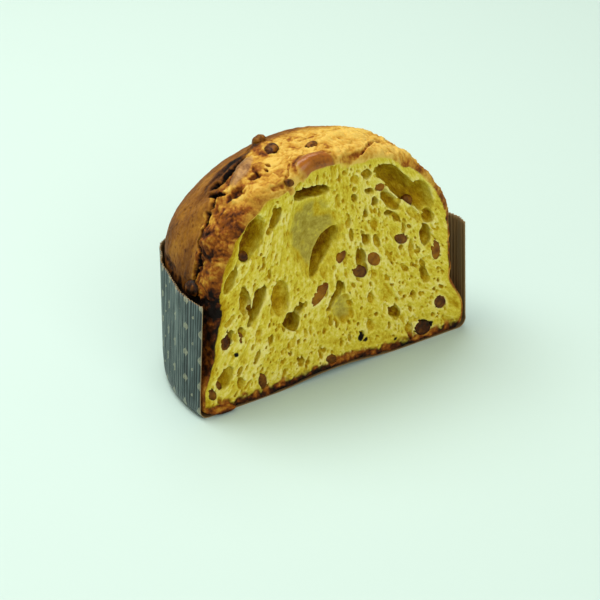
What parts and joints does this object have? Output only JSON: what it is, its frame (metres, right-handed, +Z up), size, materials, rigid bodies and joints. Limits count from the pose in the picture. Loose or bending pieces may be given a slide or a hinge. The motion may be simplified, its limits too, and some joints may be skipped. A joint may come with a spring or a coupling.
{
  "type": "panettone half in paper case",
  "caption": "Domed sweet bread cut in two, its open crumb full of bubbles and dried fruit, standing in a pleated paper case.",
  "frame": {"origin": "under the middle of the whole, on the surface that it stands on", "axes": "+X along the cut face to the right as seen from the front, +Y back into the loaf, +Z up"},
  "size_m": [0.2006, 0.1148, 0.1477],
  "materials": {
    "crumb_and_crust": "matte, yellow crumb with browned crust",
    "case_paper": "satin baking paper, slate outside and dark brown inside",
    "raisin": "wrinkled, half gloss",
    "candied_peel": "moist, half gloss"
  },
  "bodies": {
    "root": {"loaf": "crumb_and_crust", "paper_case": "case_paper", "raisin_left_hollow": "raisin", "raisin_centre": "raisin", "peel_centre": "candied_peel", "raisin_pale": "candied_peel", "raisin_bean": "raisin", "peel_drop": "candied_peel", "peel_block": "candied_peel", "raisin_right_low": "raisin", "raisin_base_right": "raisin", "raisin_base_middle": "raisin", "raisin_base_left": "raisin", "raisin_left": "raisin", "raisin_left_inner": "raisin", "raisin_corner": "raisin", "raisin_crust_edge": "raisin", "raisin_left_foot": "raisin", "raisin_right_hollow": "raisin", "peel_upper": "candied_peel", "peel_right": "candied_peel", "raisin_crown": "raisin", "raisin_top": "raisin", "raisin_rim": "raisin", "raisin_slot": "raisin"}
  },
  "joints": []
}
